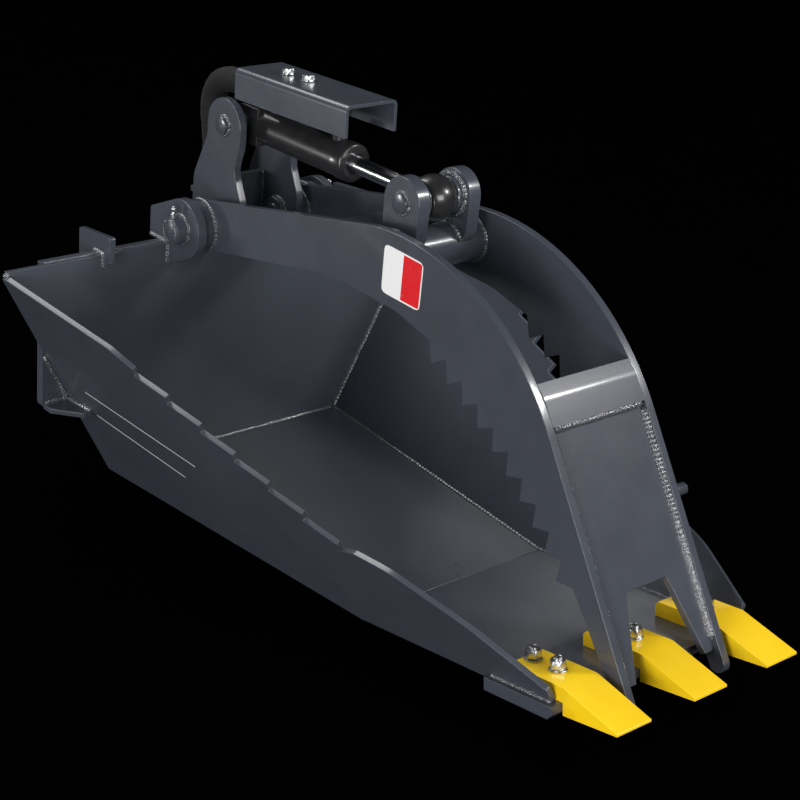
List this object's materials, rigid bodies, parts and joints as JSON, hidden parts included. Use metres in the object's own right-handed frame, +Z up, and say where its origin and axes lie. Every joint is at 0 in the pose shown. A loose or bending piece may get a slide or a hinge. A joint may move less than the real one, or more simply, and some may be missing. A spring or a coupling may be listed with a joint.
{
  "type": "stump grapple bucket",
  "caption": "Stump bucket with saw-toothed sides, three bolted teeth and a hydraulic grapple jaw that hinges at the back wall.",
  "frame": {"origin": "centre plane of the bucket at the rear lower edge of its floor, on the ground", "axes": "+Z up, -Y towards the digging teeth, +X across to the right side seen from behind the hitch"},
  "size_m": [0.8046, 1.1078, 0.6318],
  "materials": {
    "slate_paint": "satin",
    "yellow_paint": "satin",
    "black_paint": "satin",
    "rod_chrome": "polished",
    "turned_steel": "satin",
    "hose_sleeve": "matte",
    "zinc": "satin"
  },
  "bodies": {
    "bucket": {"back_wall": "slate_paint", "coupler_shelf": "slate_paint", "floor_front": "slate_paint", "floor_rear": "slate_paint", "grease_nipples": "zinc", "hitch_hook": "slate_paint", "hitch_ledge": "slate_paint", "hitch_plate": "slate_paint", "hitch_tab_left": "slate_paint", "hitch_tab_right": "slate_paint", "hitch_wing_left": "slate_paint", "hitch_wing_right": "slate_paint", "hose_couplers": "zinc", "hose_sleeve_rear": "hose_sleeve", "lip_bar": "slate_paint", "pin_collars": "slate_paint", "pivot_bracket_left": "slate_paint", "pivot_bracket_right": "slate_paint", "pivot_hubs": "slate_paint", "pivot_pins": "slate_paint", "side_plate_left": "slate_paint", "side_plate_right": "slate_paint", "tooth_bolts": "zinc", "tooth_centre": "yellow_paint", "tooth_left": "yellow_paint", "tooth_nuts": "zinc", "tooth_right": "yellow_paint", "tooth_washers": "zinc", "tower_lug_left": "slate_paint", "tower_lug_right": "slate_paint", "tower_pin": "slate_paint", "tower_web": "slate_paint"},
    "jaw": {"jaw_arm_left": "slate_paint", "jaw_arm_right": "slate_paint", "arm_bosses_outer": "slate_paint", "arm_bosses_inner": "slate_paint", "cross_tube": "slate_paint", "jaw_web": "slate_paint", "nose_bend": "slate_paint", "nose_plate": "slate_paint", "cylinder_ear_left": "slate_paint", "cylinder_ear_right": "slate_paint", "ear_collars": "slate_paint", "ear_pin": "slate_paint", "arm_knob": "slate_paint"},
    "barrel": {"barrel_tube": "black_paint", "barrel_eye": "black_paint", "gland_nut": "black_paint", "port_elbow_front": "black_paint", "port_elbow_rear": "black_paint", "cylinder_guard": "slate_paint", "guard_bar": "slate_paint", "guard_stand": "slate_paint", "guard_bolts": "zinc", "guard_washers": "zinc", "hose_sleeve_front": "hose_sleeve"},
    "rod": {"piston_rod": "rod_chrome", "piston": "turned_steel", "rod_eye": "black_paint"}
  },
  "joints": [
    {"name": "jaw_hinge", "type": "hinge", "parent": "bucket", "child": "jaw", "pos_m": [0, -0.0405, 0.386], "axis": [-1, 0, 0], "range_deg": [0, 40]},
    {"name": "barrel_hinge", "type": "hinge", "parent": "bucket", "child": "barrel", "pos_m": [0, -0.036, 0.533], "axis": [-1, 0, 0], "range_deg": [0, 44.8]},
    {"name": "rod_slide", "type": "slide", "parent": "barrel", "child": "rod", "axis": [0, 1, -0.0051], "range_m": [0, 0.0954]}
  ],
  "couplings": [
    {"joint": "barrel_hinge", "follows": "jaw_hinge", "ratio": 1.1175},
    {"joint": "rod_slide", "follows": "jaw_hinge", "m_per_rad": 0.1365}
  ]
}
